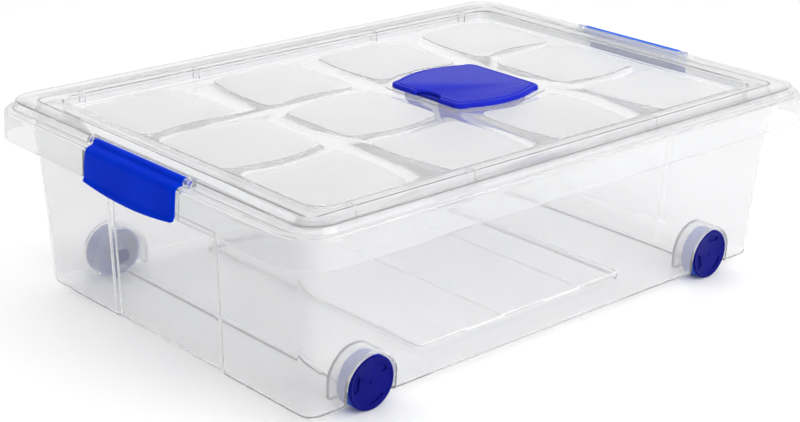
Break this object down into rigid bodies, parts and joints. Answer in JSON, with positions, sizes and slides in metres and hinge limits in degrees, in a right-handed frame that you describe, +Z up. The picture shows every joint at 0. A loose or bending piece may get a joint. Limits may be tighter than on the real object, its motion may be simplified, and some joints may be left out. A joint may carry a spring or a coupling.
{
  "type": "under bed storage box",
  "caption": "Shallow see-through under bed storage box on wheels, with a clear lid held by blue end latches and a capped compartment in the lid.",
  "frame": {"origin": "on the floor, under the centre of the box", "axes": "+X along the box's length towards its right end, +Y across it towards its back long side, +Z up out of the lid"},
  "size_m": [0.6062, 0.42, 0.1734],
  "materials": {
    "clear_plastic": "translucent natural polypropylene, polished outside, lightly frosted raised pads",
    "blue_plastic": "satin moulded blue polypropylene",
    "latch_plastic": "glossy moulded blue polypropylene",
    "wheel_plastic": "satin moulded dark blue polypropylene",
    "axle_plastic": "satin moulded dark blue acetal"
  },
  "bodies": {
    "box": {"box_body": "clear_plastic", "axle_left_front": "axle_plastic", "axle_left_back": "axle_plastic", "axle_right_front": "axle_plastic", "axle_right_back": "axle_plastic"},
    "lid": {"lid": "clear_plastic", "scent_tray": "blue_plastic"},
    "cap": {"compartment_cap": "blue_plastic"},
    "left_latch": {"latch_left": "latch_plastic"},
    "right_latch": {"latch_right": "latch_plastic"},
    "left_front_wheel": {"wheel_left_front": "wheel_plastic"},
    "left_back_wheel": {"wheel_left_back": "wheel_plastic"},
    "right_front_wheel": {"wheel_right_front": "wheel_plastic"},
    "right_back_wheel": {"wheel_right_back": "wheel_plastic"}
  },
  "joints": [
    {"name": "lid_lift", "type": "slide", "parent": "box", "child": "lid", "axis": [0, 0, 1], "range_m": [0, 0.3]},
    {"name": "left_latch_hinge", "type": "hinge", "parent": "lid", "child": "left_latch", "pos_m": [-0.2885, 0, 0.1701], "axis": [0, 1, 0], "range_deg": [0, 110]},
    {"name": "right_latch_hinge", "type": "hinge", "parent": "lid", "child": "right_latch", "pos_m": [0.2885, 0, 0.1701], "axis": [0, -1, 0], "range_deg": [0, 110]},
    {"name": "cap_pull", "type": "slide", "parent": "lid", "child": "cap", "axis": [0, 0, 1], "range_m": [0, 0.05]},
    {"name": "left_front_wheel_spin", "type": "hinge", "parent": "box", "child": "left_front_wheel", "pos_m": [-0.2047, -0.1689, 0.0226], "axis": [0, 1, 0], "continuous": true},
    {"name": "left_back_wheel_spin", "type": "hinge", "parent": "box", "child": "left_back_wheel", "pos_m": [-0.2047, 0.1689, 0.0226], "axis": [0, 1, 0], "continuous": true},
    {"name": "right_front_wheel_spin", "type": "hinge", "parent": "box", "child": "right_front_wheel", "pos_m": [0.2047, -0.1689, 0.0226], "axis": [0, 1, 0], "continuous": true},
    {"name": "right_back_wheel_spin", "type": "hinge", "parent": "box", "child": "right_back_wheel", "pos_m": [0.2047, 0.1689, 0.0226], "axis": [0, 1, 0], "continuous": true}
  ]
}
